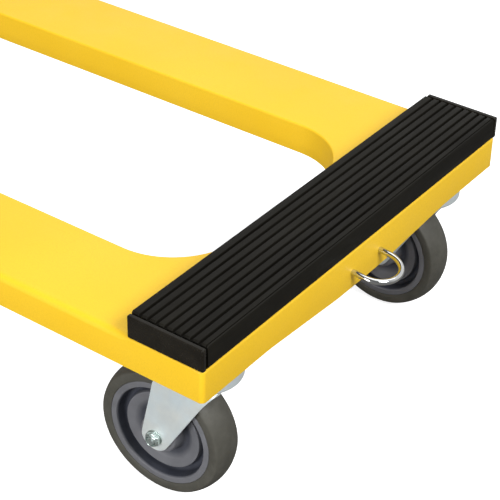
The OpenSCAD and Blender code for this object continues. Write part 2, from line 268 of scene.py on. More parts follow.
def core_plastic():
    """Grey plastic, with painted shade multiplied in where the recess attribute marks the wheel's channel and
    hub recess.
    """
    material, tree, shader, place = new_material("core_plastic")
    shade = noise(tree, place, 20, 4)
    base = colours(tree, shade, [(0.3, (0.135, 0.137, 0.150)), (0.7, (0.172, 0.174, 0.190))])
    recess = tree.nodes.new("ShaderNodeAttribute")
    recess.attribute_name = "recess"
    # Painted shade: a blue-black tint standing in for the shade in the deep channel and in the hub recess
    # beside the fork leg.
    painted_recess_shade = colours(tree, recess.outputs["Fac"], [(0.0, (1, 1, 1)), (1.0, (0.26, 0.28, 0.34))])
    full = spread(tree, noise(tree, place, 9, 4), 0.9, 1.0)
    tree.links.new(blend_colours(tree, base, painted_recess_shade, full, "MULTIPLY"), shader.inputs["Base Color"])
    tree.links.new(spread(tree, noise(tree, place, 6, 4), 0.38, 0.52), shader.inputs["Roughness"])
    shader.inputs["Specular IOR Level"].default_value = 0.35
    add_bump(tree, shader, (noise(tree, place, 0.8, 3, 0.6), 0.025))
    return material


def tyre_rubber():
    material, tree, shader, place = new_material("tyre_rubber")
    dust = noise(tree, place, 18, 6, 0.65)
    base = colours(tree, dust, [(0.3, (0.056, 0.054, 0.043)), (0.7, (0.083, 0.08, 0.066))])
    tree.links.new(base, shader.inputs["Base Color"])
    tree.links.new(spread(tree, noise(tree, place, 5, 5), 0.5, 0.68), shader.inputs["Roughness"])
    add_bump(tree, shader, (noise(tree, place, 2.5, 3), 0.05), (noise(tree, place, 0.5, 2), 0.03))
    return material


def ball_steel():
    material, tree, shader, place = new_material("ball_steel")
    base = colours(tree, noise(tree, place, 6, 3), [(0.3, (0.42, 0.42, 0.43)), (0.7, (0.55, 0.55, 0.56))])
    tree.links.new(base, shader.inputs["Base Color"])
    shader.inputs["Metallic"].default_value = 1.0
    tree.links.new(spread(tree, noise(tree, place, 2, 3), 0.14, 0.28), shader.inputs["Roughness"])
    return material


MATERIALS = {
    "deck_plastic": deck_plastic(),
    "pad_rubber": pad_rubber(),
    "cap_plastic": cap_plastic(),
    "zinc": zinc("zinc", (0.70, 0.78, 0.76), (0.48, 0.56, 0.55), 0.22, 0.4, 0.9),
    "yoke_zinc": zinc("yoke_zinc", (0.84, 0.90, 0.92), (0.76, 0.82, 0.84), 0.4, 0.55, 0.5),
    "ring_chrome": ring_chrome(),
    "core_plastic": core_plastic(),
    "tyre_rubber": tyre_rubber(),
    "ball_steel": ball_steel(),
}


# ---- mesh tools ----

def piece(name, bm, body, slot, stands_for=(), sharp_deg=38):
    """Makes a finished piece of a bmesh in millimetres: its material, its body and what it stands for."""
    bmesh.ops.scale(bm, vec=(MM, MM, MM), verts=bm.verts)
    bmesh.ops.recalc_face_normals(bm, faces=bm.faces)
    mesh = bpy.data.meshes.new(name)
    bm.to_mesh(mesh)
    bm.free()
    mesh.materials.append(MATERIALS[slot])
    mesh.shade_smooth()
    mesh.set_sharp_from_angle(angle=math.radians(sharp_deg))
    obj = bpy.data.objects.new(name, mesh)
    bpy.context.scene.collection.objects.link(obj)
    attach(obj, body)
    if stands_for:
        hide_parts(*stands_for)
    return obj


def bevelled(obj, width_mm, segments=3, angle_deg=40):
    """Rounds the sharp edges of a piece."""
    bevel = obj.modifiers.new("soft_edges", "BEVEL")
    bevel.width = width_mm * MM
    bevel.segments = segments
    bevel.limit_method = "ANGLE"
    bevel.angle_limit = math.radians(angle_deg)
    bevel.harden_normals = True
    return obj


def rounded(corners, steps=6):
    """The outline through (x, y, radius) corners, each rounded to its radius."""
    outline = []
    for i, (x, y, radius) in enumerate(corners):
        here = Vector((x, y))
        before = Vector(corners[i - 1][:2]) - here
        after = Vector(corners[(i + 1) % len(corners)][:2]) - here
        angle = before.angle(after)
        if radius <= 0 or angle > math.pi - 0.01:
            outline.append(here)
            continue
        reach = min(radius / math.tan(angle / 2), 0.49 * before.length, 0.49 * after.length)
        centre = here + (before.normalized() + after.normalized()).normalized() * reach / math.cos(angle / 2)
        start = here + before.normalized() * reach - centre
        end = here + after.normalized() * reach - centre
        turn = start.angle_signed(end)
        for k in range(steps + 1):
            outline.append(centre + Matrix.Rotation(-turn * k / steps, 2) @ start)
    return outline


def loft(bm, loops, around=False, capped=False):
    """Skins loops of equal length one to the next, joining the last to the first if around."""
    rings = [[bm.verts.new(point) for point in loop] for loop in loops]
    following = rings[1:] + rings[:1] if around else rings[1:]
    for ring, other in zip(rings, following):
        for i in range(len(ring)):
            k = (i + 1) % len(ring)
            bm.faces.new((ring[i], ring[k], other[k], other[i]))
    if capped:
        bm.faces.new(rings[0])
        bm.faces.new(rings[-1])


def lathe(bm, outline, place=Matrix(), segments=96):
    """Turns a closed (radius, height) outline about Z, then puts it in place."""
    rings = []
    for radius, height in outline:
        if radius < 0.001:
            rings.append([bm.verts.new(place @ Vector((0, 0, height)))])
            continue
        ring = []
        for i in range(segments):
            angle = 2 * math.pi * i / segments
            point = Vector((radius * math.cos(angle), radius * math.sin(angle), height))
            ring.append(bm.verts.new(place @ point))
        rings.append(ring)
    for ring, other in zip(rings, rings[1:] + rings[:1]):
        if len(ring) == 1 and len(other) == 1:
            continue
        for i in range(segments):
            k = (i + 1) % segments
            corners = [ring[i % len(ring)], ring[k % len(ring)], other[k % len(other)], other[i % len(other)]]
            bm.faces.new(list(dict.fromkeys(corners)))


def prism(bm, outline, low, high, place=Matrix()):
    """An upright block with this plan outline, from height low to height high."""
    loops = [[place @ Vector((x, y, z)) for x, y in outline] for z in (low, high)]
    loft(bm, loops, capped=True)


def rectangle(x0, x1, y0, y1, radius=0.0, steps=5):
    return rounded([(x0, y0, radius), (x1, y0, radius), (x1, y1, radius), (x0, y1, radius)], steps)


def hexagon_radius(across, angle):
    return across / 2 / math.cos((angle + math.pi / 6) % (math.pi / 3) - math.pi / 6)


def hex_loop(across, reach, height, place, points=48):
    """A loop of a hexagon cut back to a circle of radius reach, as a nut's chamfer cuts it."""
    loop = []
    for i in range(points):
        angle = 2 * math.pi * i / points
        radius = min(hexagon_radius(across, angle), reach)
        loop.append(place @ Vector((radius * math.cos(angle), radius * math.sin(angle), height)))
    return loop


def hex_block(bm, across, low, high, hole_r, place=Matrix(), chamfer_low=True):
    """A chamfered nut, or with hole_r 0 a bolt head."""
    corner = across / math.sqrt(3) + 0.01
    flat = across * 0.475
    slope = 0.58
    steps = 5
    rises = [(corner - flat) * slope * i / steps for i in range(steps + 1)]
    outer = [(flat + rise / slope, low + rise) for rise in rises] if chamfer_low else [(corner, low)]
    outer += [(flat + rise / slope, high - rise) for rise in reversed(rises)]
    loops = [hex_loop(across, reach, height, place) for reach, height in outer]
    if hole_r:
        lip = 0.5
        holes = [(hole_r + lip, high), (hole_r, high - lip), (hole_r, low + lip), (hole_r + lip, low)]
        loops += [hex_loop(100, radius, height, place) for radius, height in holes]
        loft(bm, loops, around=True)
    else:
        loft(bm, loops, capped=True)


def threaded_rod(bm, radius, low, high, pitch, place=Matrix(), segments=32):
    """A rod with ring grooves for threads and a small chamfer on both ends."""
    outline = [(0, low), (radius - 0.7, low)]
    height = low + 0.5
    while height < high - 0.5 - pitch:
        outline += [(radius, height), (radius, height + pitch * 0.3), (radius - 0.45, height + pitch * 0.65)]
        height += pitch
    outline += [(radius, height), (radius - 0.7, high), (0, high)]
    lathe(bm, outline, place, segments)


def plain_rod(bm, radius, low, high, place=Matrix(), segments=48):
    edge = 0.4
    outline = [
        (0, low), (radius - edge, low), (radius, low + edge),
        (radius, high - edge), (radius - edge, high), (0, high),
    ]
    lathe(bm, outline, place, segments)


def end_frame(side):
    """The matrix of a deck end: x = 0 on the end face, +X out of the deck, z = 0 on the deck's top."""
    turn = Matrix.Rotation(0 if side > 0 else math.pi, 4, "Z")
    return Matrix.Translation((DECK_X, 0, DECK_TOP)) @ turn @ Matrix.Translation((HALF_L, 0, 0))


def smooth_step(t):
    t = min(1.0, max(0.0, t))
    return t * t * (3 - 2 * t)


# ---- deck ----

CORNER_STEPS = 20
END_STEPS = 36
# Where the long sides are cut, as distances from the deck's end
SIDE_CUTS = (20, 45, 64, 70, 76, 82, 90, 140, 220, 300)


def box_loop(half_l, half_w, radius, side_cuts):
    """A rounded rectangle as (point, outward normal), the same number of points whatever its size."""
    points = []
    for corner in range(4):
        sign_x = 1 if corner in (0, 3) else -1
        sign_y = 1 if corner in (0, 1) else -1
        centre = Vector((sign_x * (half_l - radius), sign_y * (half_w - radius)))
        for i in range(CORNER_STEPS + 1):
            angle = RIGHT_ANGLE * (corner + i / CORNER_STEPS)
            normal = Vector((math.cos(angle), math.sin(angle)))
            points.append((centre + radius * normal, normal))
        last, normal = points[-1]
        if corner in (0, 2):
            sweep = [*side_cuts, 0.5, *(1 - cut for cut in reversed(side_cuts))]
            end = Vector((-last.x, last.y))
        else:
            sweep = [i / END_STEPS for i in range(1, END_STEPS)]
            end = Vector((last.x, -last.y))
        points += [(last.lerp(end, t), normal) for t in sweep]
    return points


def side_fractions(half_l, radius):
    straight = 2 * (half_l - radius)
    return [(cut - radius) / straight for cut in SIDE_CUTS]


def edge_z(x, y):
    """Height of the deck's lower edge: an end wall hangs deeper at its middle."""
    if abs(x) < HALF_L - 12:
        return WALL_Z
    share = (abs(y) - SKIRT_FLAT) / (SKIRT_END - SKIRT_FLAT)
    soft = 0.12
    share = min(1, max(0, share))
    if share < soft:
        share = share * share / (2 * soft)
    elif share > 1 - soft:
        share = 1 - soft - (1 - share) * (1 - share) / (2 * soft)
    else:
        share -= soft / 2
    return SKIRT_Z + (WALL_Z - SKIRT_Z) * share / (1 - soft)


def top_round(x, y, normal):
    """Radius of the deck's top edge: large along the sides between the pads, small at the ends."""
    along = smooth_step((HALF_L - PAD_W + 4 - abs(x)) / 14)
    small = 2.0
    return small + (EDGE_R - small) * along * abs(normal.y)


def outer_loop(inset, height, radius):
    fractions = side_fractions(HALF_L, CORNER_R)
    loop = []
    for point, _ in box_loop(HALF_L - inset, HALF_W - inset, radius, fractions):
        z = edge_z(point.x, point.y) + height if height < 8 else height
        loop.append(Vector((point.x + DECK_X, point.y, z)))
    return loop


def outer_top_loop(angle):
    fractions = side_fractions(HALF_L, CORNER_R)
    loop = []
    for point, normal in box_loop(HALF_L, HALF_W, CORNER_R, fractions):
        radius = top_round(point.x, point.y, normal)
        moved = point - normal * radius * (1 - math.cos(angle))
        loop.append(Vector((moved.x + DECK_X, moved.y, DECK_TOP - radius * (1 - math.sin(angle)))))
    return loop


def opening_loop(outset, height):
    fractions = side_fractions(HALF_L, CORNER_R)
    half_l = HALF_L - OPEN_END + outset
    half_w = OPEN_HALF_W + outset
    points = box_loop(half_l, half_w, OPEN_R + outset, fractions)
    return [Vector((point.x + DECK_X, point.y, height)) for point, _ in points]


def deck_moulding():
    """The deck's skin and upright walls as one closed shell."""
    bottom_r = 0.8
    open_top_r = 2.0
    turns = [RIGHT_ANGLE * i / 6 for i in range(7)]
    under = DECK_TOP - SKIN_T
    loops = []
    for angle in turns:
        loops.append(outer_top_loop(RIGHT_ANGLE - angle))
    for angle in turns:
        loops.append(outer_loop(bottom_r * (1 - math.cos(angle)), bottom_r * (1 - math.sin(angle)), CORNER_R))
    loops.append(outer_loop(WALL_T - 1, 0, 3))
    loops.append(outer_loop(WALL_T - 0.3, 0.3, 3))
    loops.append(outer_loop(WALL_T, 1, 3))
    loops.append(outer_loop(WALL_T + 0.6, under - 2, 3))
    loops.append(outer_loop(WALL_T + 1.2, under - 0.6, 3))
    loops.append(outer_loop(WALL_T + 2.6, under, 3))
    loops.append(opening_loop(WALL_T + 2.6, under))
    loops.append(opening_loop(WALL_T + 1.2, under - 0.6))
    loops.append(opening_loop(WALL_T + 0.6, under - 2))
    loops.append(opening_loop(WALL_T, WALL_Z + 1))
    loops.append(opening_loop(WALL_T - 0.3, WALL_Z + 0.3))
    for angle in reversed(turns):
        rise = bottom_r * (1 - math.sin(angle))
        loops.append(opening_loop(bottom_r * (1 - math.cos(angle)), WALL_Z + rise))
    for angle in turns:
        drop = open_top_r * (1 - math.sin(angle))
        loops.append(opening_loop(open_top_r * (1 - math.cos(angle)), DECK_TOP - drop))
    bm = bmesh.new()
    loft(bm, loops, around=True)
    return piece("deck_moulding", bm, "deck", "deck_plastic", ["deck"], sharp_deg=50)


def deck_underside():
    """The ribs and the caster seats under the deck's skin."""
    bm = bmesh.new()
    top = DECK_TOP - SKIN_T + 0.5
    inner_l = HALF_L - WALL_T + 0.4
    inner_w = HALF_W - WALL_T + 0.4
    open_l = HALF_L - OPEN_END + WALL_T - 0.4
    open_w = OPEN_HALF_W + WALL_T - 0.4
    rail_y = (HALF_W + OPEN_HALF_W) / 2
    low = DECK_EDGE_Z + 0.6
    caster_x = HALF_L - (deck_high.x - swivel_at.x)
    seat_x0 = caster_x - 36
    seat_y0 = swivel_at.y - 52.5

    def block(x0, x1, y0, y1, z):
        prism(bm, rectangle(x0 + DECK_X, x1 + DECK_X, y0, y1), z, top)

    for side in (-1, 1):
        y = side * rail_y
        block(-seat_x0, seat_x0, y - RIB_T / 2, y + RIB_T / 2, low)
        for x in range(-280, 281, 70):
            edges = sorted((side * open_w, side * inner_w))
            block(x - RIB_T / 2, x + RIB_T / 2, *edges, low + 0.2)
        x = side * (HALF_L - OPEN_END / 2)
        block(x - RIB_T / 2, x + RIB_T / 2, -seat_y0, seat_y0, low)
        for y in (-75, -35, 35, 75):
            edges = sorted((side * open_l, side * inner_l))
            block(*edges, y - RIB_T / 2, y + RIB_T / 2, low + 0.2)
        for across in (-1, 1):
            xs = sorted((side * seat_x0, side * (inner_l - 0.2)))
            ys = sorted((across * seat_y0, across * (inner_w - 0.2)))
            prism(bm, rectangle(xs[0] + DECK_X, xs[1] + DECK_X, *ys, 3), DECK_EDGE_Z, top)
    return bevelled(piece("deck_underside", bm, "deck", "deck_plastic"), 0.6, 2)


# ---- end pads ----

GROOVES = 8
GROOVE_PITCH = 8.4
GROOVE_W = 2.8
GROOVE_DEPTH = 3.0
FIRST_GROOVE = 7.0


def pad_outline():
    """A pad's section: x from its inner edge, y from the deck's top."""
    corners = [(0, 0.05, 0.3), (0, PAD_H, 0.4)]
    for i in range(GROOVES):
        x0 = FIRST_GROOVE + i * GROOVE_PITCH
        x1 = x0 + GROOVE_W
        floor = PAD_H - GROOVE_DEPTH
        corners += [(x0, PAD_H, 0.7), (x0 + 0.25, floor, 0.6), (x1 - 0.25, floor, 0.6), (x1, PAD_H, 0.7)]
    line = PAD_W - 2.3
    corners += [
        (line, PAD_H, 0.3), (line + 0.15, PAD_H - 1.2, 0.15), (line + 0.8, PAD_H - 1.2, 0.15),
        (line + 0.95, PAD_H - 0.1, 0.3), (PAD_W - 0.1, PAD_H - 0.5, 1.6), (PAD_W + 0.3, PAD_H * 0.5, 20),
        (PAD_W + 0.3, 1.6, 2.0), (PAD_W - 1.6, 0.05, 0.3),
    ]
    return rounded(corners, 5)


def pad_strip(name, side):
    """A ribbed pad: one section along its length, its top rounded off over the last of each end."""
    outline = pad_outline()
    place = end_frame(side) @ Matrix.Translation((-PAD_W, 0, 0))
    end = PAD_HALF - 1.2
    worn = 1.8
    end_drop = 1.6
    foot = 0.05
    stations = 40
    loops = []
    for i in range(stations + 1):
        y = (end - worn) * (2 * i / stations - 1)
        loops.append([place @ Vector((x, y, z)) for x, z in outline])
    for share in (0.25, 0.6, 1.0):
        drop = end_drop * share**2
        y = end - worn * (1 - share)
        section = [(x, max(foot, z - drop * (z > PAD_H - 4))) for x, z in outline]
        loops.insert(0, [place @ Vector((x, -y, z)) for x, z in section])
        loops.append([place @ Vector((x, y, z)) for x, z in section])
    bm = bmesh.new()
    loft(bm, loops, capped=True)
    return piece("pad_strip_" + name, bm, "deck", "pad_rubber", ["pad_" + name], sharp_deg=60)


def pad_cap(name, side, across):
    """A thin box over one end of a pad, its edges rounded."""
    place = end_frame(side)
    y = side * across * (HALF_W + CAP_OUT - CAP_T / 2)
    outline = rectangle(CAP_OUT - CAP_L, CAP_OUT, 0.05, CAP_H + 0.5, 0, 1)
    bm = bmesh.new()
    turn = place @ Matrix.Translation((0, y, 0)) @ AXLE_TURN
    prism(bm, outline, -CAP_T / 2, CAP_T / 2, turn)
    cap = piece("cap_" + name, bm, "deck", "cap_plastic", ["pad_cap_" + name])
    return bevelled(cap, 1.5, 5)


# ---- pull ring ----

RING_WIRE = 5.5
RING_TILT = math.radians(8)
RING_OUT = 3
RING_BEND = 8
RING_LEG = 7


def pull_ring():
    """A U of round wire: two legs through the end wall and a loop that tilts down."""
    middle_y = (ring_low.y + ring_high.y) / 2
    leg_z = ring_high.z - RING_WIRE / 2
    radius = (ring_high.y - ring_low.y - RING_WIRE) / 2
    tilt = RING_TILT
    elbow = Vector((RING_OUT, 0))
    path = [Vector((ring_low.x - deck_high.x, 0)), elbow]
    for i in range(1, 7):
        angle = tilt * i / 6
        path.append(elbow + RING_BEND * Vector((math.sin(angle), math.cos(angle) - 1)))
    along = Vector((math.cos(tilt), -math.sin(tilt)))
    start = path[-1] + along * RING_LEG
    path.append(start)
    points = [(p.x, -radius, p.y) for p in path]
    for i in range(1, 48):
        angle = math.pi * i / 48
        reach = start + along * radius * math.sin(angle)
        points.append((reach.x, -radius * math.cos(angle), reach.y))
    points += [(p.x, radius, p.y) for p in reversed(path)]
    base = Vector((deck_high.x, middle_y, leg_z))
    curve = bpy.data.curves.new("pull_ring_wire", "CURVE")
    curve.dimensions = "3D"
    curve.bevel_depth = RING_WIRE / 2 * MM
    curve.bevel_resolution = 8
    curve.use_fill_caps = True
    spline = curve.splines.new("POLY")
    spline.points.add(len(points) - 1)
    for slot_point, point in zip(spline.points, points):
        slot_point.co = (*((base + Vector(point)) * MM), 1)
    spline.use_smooth = True
    curve.materials.append(MATERIALS["ring_chrome"])
    obj = bpy.data.objects.new("pull_ring_wire", curve)
    bpy.context.scene.collection.objects.link(obj)
    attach(obj, "deck")
    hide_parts("pull_ring")
    return obj


def ring_fixings():
    """The backing plate behind the end wall, and its two nuts."""
    low, high = mm_box("ring_plate")
    middle = (low + high) / 2
    facing = Matrix.Rotation(RIGHT_ANGLE, 4, "Y")
    bm = bmesh.new()
    half_w = (high.z - low.z) / 2
    half_l = (high.y - low.y) / 2
    place = Matrix.Translation((low.x, middle.y, middle.z)) @ facing
    prism(bm, rectangle(-half_w, half_w, -half_l, half_l, 3), 0, high.x - low.x, place)
    bevelled(piece("ring_backing", bm, "deck", "zinc", ["ring_plate"]), 0.4, 2)
    nut_low, nut_high = mm_box("ring_nuts")
    bm = bmesh.new()
    leg_y = (ring_high.y - ring_low.y - RING_WIRE) / 2
    for side in (-1, 1):
        place = Matrix.Translation((nut_low.x, middle.y + side * leg_y, middle.z)) @ facing
        hex_block(bm, 10, 0, nut_high.x - nut_low.x, RING_WIRE / 2 + 0.02, place)
    piece("ring_nut_pair", bm, "deck", "zinc", ["ring_nuts"])


# ---- shared fasteners ----

BOLT_DX = 22.25
BOLT_DY = 38.1
BOLT_R = 4


def bolt_places():
    for name in CASTERS:
        swivel = joint_at("swivel_" + name)
        for x in (-BOLT_DX, BOLT_DX):
            for y in (-BOLT_DY, BOLT_DY):
                yield Matrix.Translation((swivel.x + x, swivel.y + y, 0))


def caster_fasteners():
    bolts = bmesh.new()
    washers = bmesh.new()
    nuts = bmesh.new()
    washer_low, washer_high = mm_box("caster_washers")
    nut_low, nut_high = mm_box("caster_nuts")
    bolt_low, bolt_high = mm_box("caster_bolts")
    for place in bolt_places():
        top = bolt_high.z
        head = rounded([(0, top - 3.4, 0), (9, top - 3.4, 0.5), (7, top, 2.5), (0, top, 0)])
        lathe(bolts, head, place, 32)
        threaded_rod(bolts, BOLT_R, bolt_low.z, bolt_high.z - 3, 1.25, place)
        foot, rim = washer_low.z, washer_high.z
        ring = rounded([(4.3, foot, 0.2), (8, foot, 0.5), (8, rim, 0.2), (4.3, rim, 0.2)], 3)
        lathe(washers, ring, place, 40)
        turned = place @ Matrix.Rotation(math.pi / 6, 4, "Z")
        hex_block(nuts, 13, nut_low.z, nut_high.z, BOLT_R + 0.02, turned)
    piece("caster_bolt_set", bolts, "deck", "zinc", ["caster_bolts"])
    piece("caster_washer_set", washers, "deck", "zinc", ["caster_washers"])
    piece("caster_nut_set", nuts, "deck", "zinc", ["caster_nuts"])


def pad_screws():
    """Washer-head screws up through the deck's skin into the pads."""
    bm = bmesh.new()
    low, high = mm_box("pad_screws")
    for side in (-1, 1):
        for y in (-100, -50, 50, 100):
            place = end_frame(side) @ Matrix.Translation((-37.5, y, -DECK_TOP))
            hex_block(bm, 7, low.z, low.z + 2.4, 0, place)
            flange = rounded([
                (0, low.z + 1.8, 0), (4.6, low.z + 2.2, 0.3), (4.6, low.z + 3, 0.3), (0, low.z + 3, 0),
            ], 3)
            lathe(bm, flange, place, 32)
            threaded_rod(bm, 2.4, low.z + 2.5, high.z, 1.6, place, 20)
    piece("pad_screw_set", bm, "deck", "zinc", ["pad_screws"])


# ---- casters ----

def through(points, z):
    """Smooth curve through (x, z) points, read at height z."""
    points = sorted(points, key=lambda p: p[1])
    for i in range(len(points) - 1):
        if z <= points[i + 1][1]:
            break
    x0, z0 = points[max(0, i - 1)]
    x1, z1 = points[i]
    x2, z2 = points[i + 1]
    x3, z3 = points[min(len(points) - 1, i + 2)]
    t = min(1.0, max(0.0, (z - z1) / (z2 - z1)))
    m1 = (x2 - x0) / (z2 - z0) * (z2 - z1)
    m2 = (x3 - x1) / (z3 - z1) * (z2 - z1)
    return (
        (2 * t**3 - 3 * t**2 + 1) * x1 + (t**3 - 2 * t**2 + t) * m1
        + (3 * t**2 - 2 * t**3) * x2 + (t**3 - t**2) * m2
    )


BOSS_R = 13.6
# The leg's edges as (x, z) from the axle: straight up from the round boss, then flared to the pan
LEG_LEFT = [(-13.3, 2.7), (-8.1, 27), (-4.2, 45), (-1.4, 59), (2, 68), (5, 74.8)]
LEG_RIGHT = [(11.7, -6.95), (29, 22), (46.3, 51), (51.8, 59.2), (56.5, 65.5), (61.5, 71.5), (63, 74.8)]


def leg_edges(z):
    """The two edges of a fork leg at height z, round at the bottom about the axle."""
    above = z - AXLE_Z
    half = math.sqrt(max(0.0, BOSS_R**2 - above**2))
    left = through(LEG_LEFT, above) if above > LEG_LEFT[0][1] else -half
    right = through(LEG_RIGHT, above) if above > LEG_RIGHT[0][1] else half
    return left - TRAIL, right - TRAIL


def fork_sheet():
    """The bent sheet of the fork: up one leg, across under the race, and down the other."""
    plane = FORK_GAP / 2 + SHEET_T / 2
    bend = 6
    crown = CROWN_Z + SHEET_T / 2
    path = []
    for i in range(9):
        angle = math.radians(4 + 86 * i / 8)
        path.append((plane, AXLE_Z - BOSS_R * math.cos(angle)))
    top = crown - bend
    path += [(plane, AXLE_Z + (top - AXLE_Z) * i / 14) for i in range(1, 15)]
    for i in range(1, 7):
        angle = RIGHT_ANGLE * i / 6
        path.append((plane - bend * (1 - math.cos(angle)), top + bend * math.sin(angle)))
    path += [(y, crown) for y in (9, 4)]
    mirrored = [(-y, z) for y, z in reversed(path)]
    columns = 16
    rows = []
    for y, z in path + mirrored:
        left, right = leg_edges(z)
        row = []
        for k in range(columns + 1):
            x = left + (right - left) * k / columns
            crease = smooth_step((x - (left + 0.56 * (right - left))) / 7)
            lift = 0.9 * crease * smooth_step((z - 74) / 22) * smooth_step((crown - 4 - z) / 8)
            row.append(Vector((x, y + math.copysign(lift, y), z)))
        rows.append(row)
    return rows


def yoke(name):
    """A caster's fork, and the round pan on top of it that carries the ball race."""
    place = caster_frame(name)
    bm = bmesh.new()
    grid = [[bm.verts.new(place @ point) for point in row] for row in fork_sheet()]
    for row, other in zip(grid, grid[1:]):
        for k in range(len(row) - 1):
            bm.faces.new((row[k], row[k + 1], other[k + 1], other[k]))
    fork = piece("fork_" + name, bm, "fork_" + name, "yoke_zinc", ["yoke_" + name], sharp_deg=50)
    solid = fork.modifiers.new("sheet", "SOLIDIFY")
    solid.thickness = SHEET_T * MM
    solid.offset = 0
    solid.use_even_offset = True
    bevelled(fork, 0.6, 3, 60)
    bm = bmesh.new()
    bore = RACE_R - 2.8
    outline = rounded([
        (6.1, CROWN_Z + 7.4, 0.3), (16.5, CROWN_Z + 7.2, 1.0), (16.7, CROWN_Z + 0.4, 0.8),
        (RACE_R - 4, CROWN_Z + 0.4, 2.0),
        (RACE_R, CROWN_Z + 3.2, 3.0), (RACE_R, RACE_TOP - 1.2, 0.6), (RACE_R - 0.5, RACE_TOP, 0.5),
        (bore, RACE_TOP, 0.5), (bore, RACE_FLOOR, 0.8), (BALL_RING + 3.5, RACE_FLOOR, 0.4),
        (BALL_RING, RACE_FLOOR - 1.6, 3.0), (BALL_RING - 3.5, RACE_FLOOR, 0.4), (6.1, RACE_FLOOR, 0.3),
    ], 5)
    lathe(bm, outline, place)
    piece("race_pan_" + name, bm, "fork_" + name, "yoke_zinc", sharp_deg=35)


def top_plate(name):
    """The caster's top plate with the upper race under it."""
    low, high = mm_box("plate_" + name)
    swivel = joint_at("swivel_" + name)
    bm = bmesh.new()
    prism(bm, rectangle(low.x, high.x, low.y, high.y, 6, 8), high.z - PLATE_T, high.z - 0.02)
    bevelled(piece("top_plate_" + name, bm, "deck", "zinc", ["plate_" + name]), 0.5, 3)
    bm = bmesh.new()
    under = high.z - PLATE_T + 0.1
    outline = rounded([
        (6.05, UPPER_RACE_Z, 0.3), (BALL_RING - 3.6, UPPER_RACE_Z, 0.4),
        (BALL_RING, UPPER_RACE_Z + 1.6, 3.0), (BALL_RING + 3.6, UPPER_RACE_Z, 0.4),
        (29, UPPER_RACE_Z + 0.3, 0.6), (31.5, under, 1.2), (6.05, under, 0.2),
    ], 4)
    lathe(bm, outline, Matrix.Translation((swivel.x, swivel.y, 0)))
    piece("upper_race_" + name, bm, "deck", "zinc")


def king_pin(name):
    low, high = mm_box("kingpin_" + name)
    swivel = joint_at("swivel_" + name)
    place = Matrix.Translation((swivel.x, swivel.y, 0))
    bm = bmesh.new()
    top = high.z - 0.3
    outline = rounded([(0, low.z, 0), (4.5, low.z, 1.5), (6, low.z + 1.4, 0.6), (6, top, 0.2), (0, top, 0)])
    lathe(bm, outline, place, 48)
    piece("king_pin_" + name, bm, "deck", "zinc", ["kingpin_" + name])
    low, high = mm_box("kingpin_nut_" + name)
    bm = bmesh.new()
    hex_block(bm, 19, low.z + 0.3, high.z, 6.03, place)
    piece("king_pin_lock_nut_" + name, bm, "deck", "zinc", ["kingpin_nut_" + name])


def axle(name):
    """The axle bolt, and its lock nut and washer."""
    place = caster_frame(name) @ ALONG_AXLE
    half = FORK_GAP / 2 + SHEET_T
    washer_t = 0.9
    nut_foot = half + washer_t
    nut_top = nut_foot + 4
    bolt_r = 3.97
    across = 12.7
    bm = bmesh.new()
    hex_block(bm, across, -half - 5.3, -half - 0.02, 0, place)
    plain_rod(bm, bolt_r, -half - 1, half, place)
    threaded_rod(bm, bolt_r - 0.06, half - 0.5, nut_top + 2.6, 1.3, place, 40)
    piece("axle_bolt_steel_" + name, bm, "fork_" + name, "zinc", ["axle_bolt_" + name])
    bm = bmesh.new()
    washer = rounded([(4.1, half, 0.1), (7.6, half, 0.3), (7.6, nut_foot, 0.3), (4.1, nut_foot, 0.2)], 4)
    lathe(bm, washer, place, 48)
    hex_block(bm, across, nut_foot, nut_top + 0.2, 4.05, place)
    collar = rounded([
        (4.6, nut_top - 0.3, 0), (5.75, nut_top - 0.3, 0.2), (5.65, nut_top + 1.4, 0.8),
        (4.95, nut_top + 2, 0.4), (4.6, nut_top + 1.2, 0.3),
    ], 4)
    lathe(bm, collar, place, 48)
    piece("lock_nut_" + name, bm, "fork_" + name, "zinc", ["axle_nut_" + name])


def mirrored_outline(half):
    """A wheel outline from its outer half: (radius, height, rounding) above the middle plane."""
    return half + [(radius, -height, rounding) for radius, height, rounding in reversed(half)]


def wheel(name):
    """A wheel core, its channel and hub recess marked for the painted shade of its material, and its tyre."""
    place = caster_frame(name) @ ALONG_AXLE
    bm = bmesh.new()
    core = mirrored_outline([
        (50.9, 15.1, 0.4), (50.3, 15.4, 0.3), (45.6, 15.4, 0.8), (44.6, 13.2, 0.8), (43.8, 4.2, 3.0),
        (38.8, 3.0, 2.4), (37.6, 10.4, 1.2), (36.2, 10.2, 0.8), (30.0, 8.6, 4.0), (24.6, 6.0, 3.0),
        (20.4, 5.0, 2.0), (17.6, 17.0, 1.4), (15.4, 18.0, 0.8), (8.0, 18.0, 0.4), (7.4, 17.2, 0.3),
        (6.45, 17.2, 0.2),
    ])
    lathe(bm, rounded(core, 5), place, 128)
    # The recess attribute says how much painted shade darkens the core: all of the deep channel, and nearly
    # as much of the hub recess.
    recess = bm.verts.layers.float.new("recess")
    level = place.inverted()
    for vert in bm.verts:
        at = level @ vert.co
        radius = math.hypot(at.x, at.y)
        if 37.9 < radius < 44.9:
            vert[recess] = smooth_step((17 - abs(at.z)) / 3)
        elif 18 < radius < 27:
            vert[recess] = 0.95 * smooth_step((8.5 - abs(at.z)) / 3)
    piece("wheel_hub_" + name, bm, "wheel_" + name, "core_plastic", ["wheel_core_" + name], sharp_deg=32)

    crown_r = 34
    side = [(50.95, 14.9), (51.2, 15.3), (51.9, 15.55), (53.5, 15.85), (56, 15.98), (58, 15.98)]
    shoulder = [(58.9, 15.85), (59.5, 15.55), (60.0, 15.0)]
    crown = []
    for i in range(25):
        z = 14.4 * (1 - 2 * i / 24)
        crown.append((WHEEL_R - crown_r + math.sqrt(crown_r**2 - z * z), z))
    outline = side + shoulder + crown
    outline += [(radius, -height) for radius, height in reversed(side + shoulder)]
    bm = bmesh.new()
    lathe(bm, outline, place, 144)
    piece("tread_" + name, bm, "wheel_" + name, "tyre_rubber", ["tyre_" + name], sharp_deg=32)


